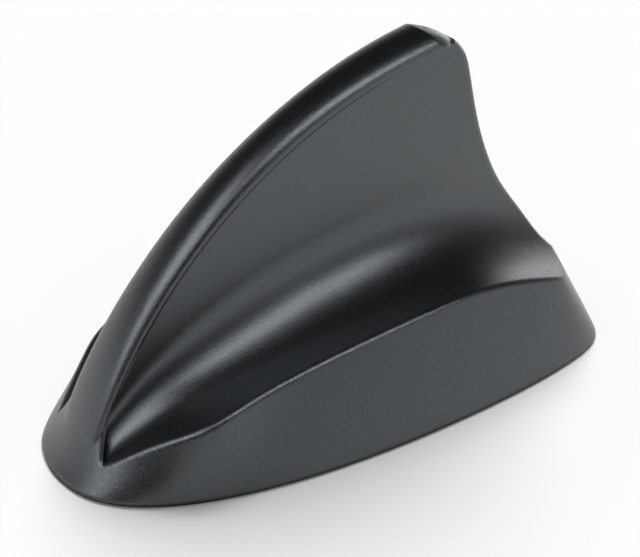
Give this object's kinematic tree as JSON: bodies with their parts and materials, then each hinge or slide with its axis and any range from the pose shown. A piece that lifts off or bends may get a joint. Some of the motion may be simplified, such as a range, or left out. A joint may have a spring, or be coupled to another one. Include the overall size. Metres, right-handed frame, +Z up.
{
  "type": "shark fin aerial",
  "caption": "Low roof aerial shaped like a shark fin: a grained cover with scooped flanks and a crowned spine over a sealed base with bolt holes and a lead exit.",
  "frame": {"origin": "centre of the footprint's length and width, on the underside of the roof seal", "axes": "nose to -X, tail to +X, Y across the roof, +Z up away from the roof"},
  "size_m": [0.1271, 0.0646, 0.0695],
  "materials": {
    "grained_black_plastic": "satin with a fine moulded grain",
    "die_cast": "as cast",
    "black_rubber": "matte",
    "plated_steel": "zinc plated",
    "green_board": "solder resist",
    "black_foam": "matte",
    "patch_ceramic": "fired, silvered top",
    "pin_brass": "plain",
    "tinned_steel": "tinned",
    "chip_black": "moulded",
    "ferrite_grey": "sintered",
    "copper_wire": "enamelled",
    "copper_sheet": "plain",
    "white_membrane": "matte"
  },
  "bodies": {
    "root": {"fin_housing": "grained_black_plastic", "base_plate": "die_cast", "roof_seal": "black_rubber", "rim_seal": "black_rubber", "cover_screws": "plated_steel", "earth_washers": "plated_steel", "main_board": "green_board", "board_screws": "plated_steel", "patch_pad": "black_foam", "gnss_patch": "patch_ceramic", "patch_pin": "pin_brass", "shield_can": "tinned_steel", "amplifier_parts": "chip_black", "choke_core": "ferrite_grey", "choke_winding": "copper_wire", "fin_board": "green_board", "board_brackets": "tinned_steel", "top_load": "copper_sheet", "foam_pads": "black_foam", "lead_grommet": "black_rubber", "vent_membrane": "white_membrane"}
  },
  "joints": []
}
